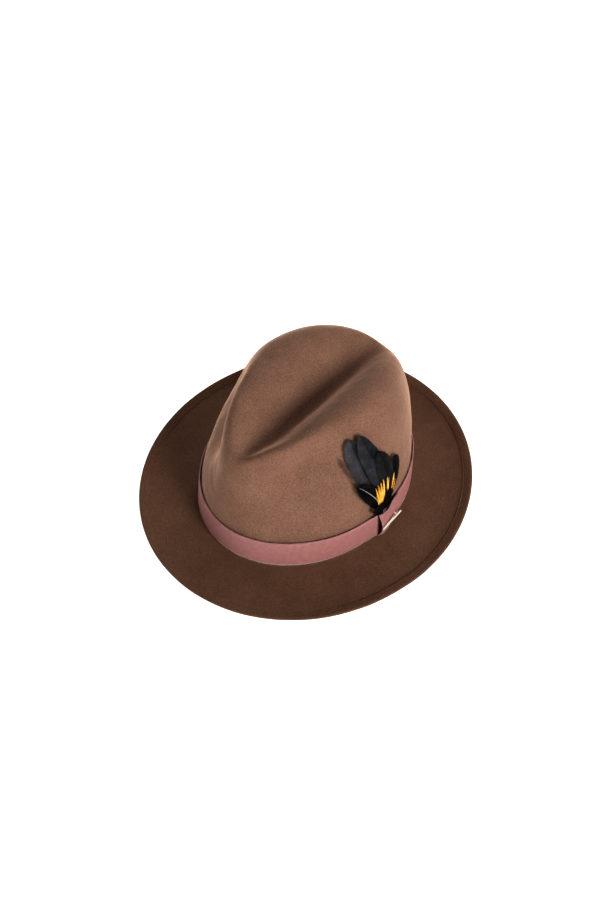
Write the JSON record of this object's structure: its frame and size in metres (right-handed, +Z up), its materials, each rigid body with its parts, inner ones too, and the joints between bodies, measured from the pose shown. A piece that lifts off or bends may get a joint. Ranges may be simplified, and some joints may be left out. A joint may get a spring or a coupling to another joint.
{
  "type": "fedora hat",
  "caption": "Brown felt fedora with a creased, dented crown, a rose grosgrain band, a plain metal bar badge and a feather spray that pulls out of the band.",
  "frame": {"origin": "on the ground under the middle of the hat's box; the hat stands on the ring where crown and brim meet", "axes": "-Y is the hat's front, +Y its back, +X the wearer's left where the feathers are, +Z up"},
  "size_m": [0.284, 0.3045, 0.1251],
  "materials": {
    "felt": "brushed wool felt, soft sheen",
    "grosgrain": "dusty rose ribbed ribbon with a toothed edge",
    "badge_metal": "pale gold, satin",
    "sweatband_leather": "smooth brown leather",
    "reed_plastic": "matte",
    "tab_cloth": "woven cotton tab",
    "lining_satin": "brown satin",
    "stem_card": "bound quill ends",
    "binding_thread": "wound thread",
    "charcoal_feather": "blue-black feather with a soft sheen",
    "black_feather": "black feather",
    "down": "grey-brown down",
    "gold_feather": "golden barbs"
  },
  "bodies": {
    "hat": {"felt_body": "felt", "ribbon_band": "grosgrain", "band_keeper": "grosgrain", "badge_bar": "badge_metal", "badge_pins": "badge_metal", "sweatband": "sweatband_leather", "sweatband_reed": "reed_plastic", "sweatband_bow": "sweatband_leather", "size_tab": "tab_cloth", "lining_side": "lining_satin", "lining_tip": "lining_satin"},
    "feather_spray": {"feather_stem": "stem_card", "feather_binding": "binding_thread", "feather_long": "charcoal_feather", "feather_long_left": "charcoal_feather", "feather_long_right": "charcoal_feather", "feather_back": "black_feather", "feather_lower": "black_feather", "feather_wisp": "down", "gold_hackle": "gold_feather", "feather_front_small": "black_feather"}
  },
  "joints": [
    {"name": "feather_pull", "type": "slide", "parent": "hat", "child": "feather_spray", "axis": [-0.0976, 0, 0.9952], "range_m": [0, 0.03]}
  ]
}
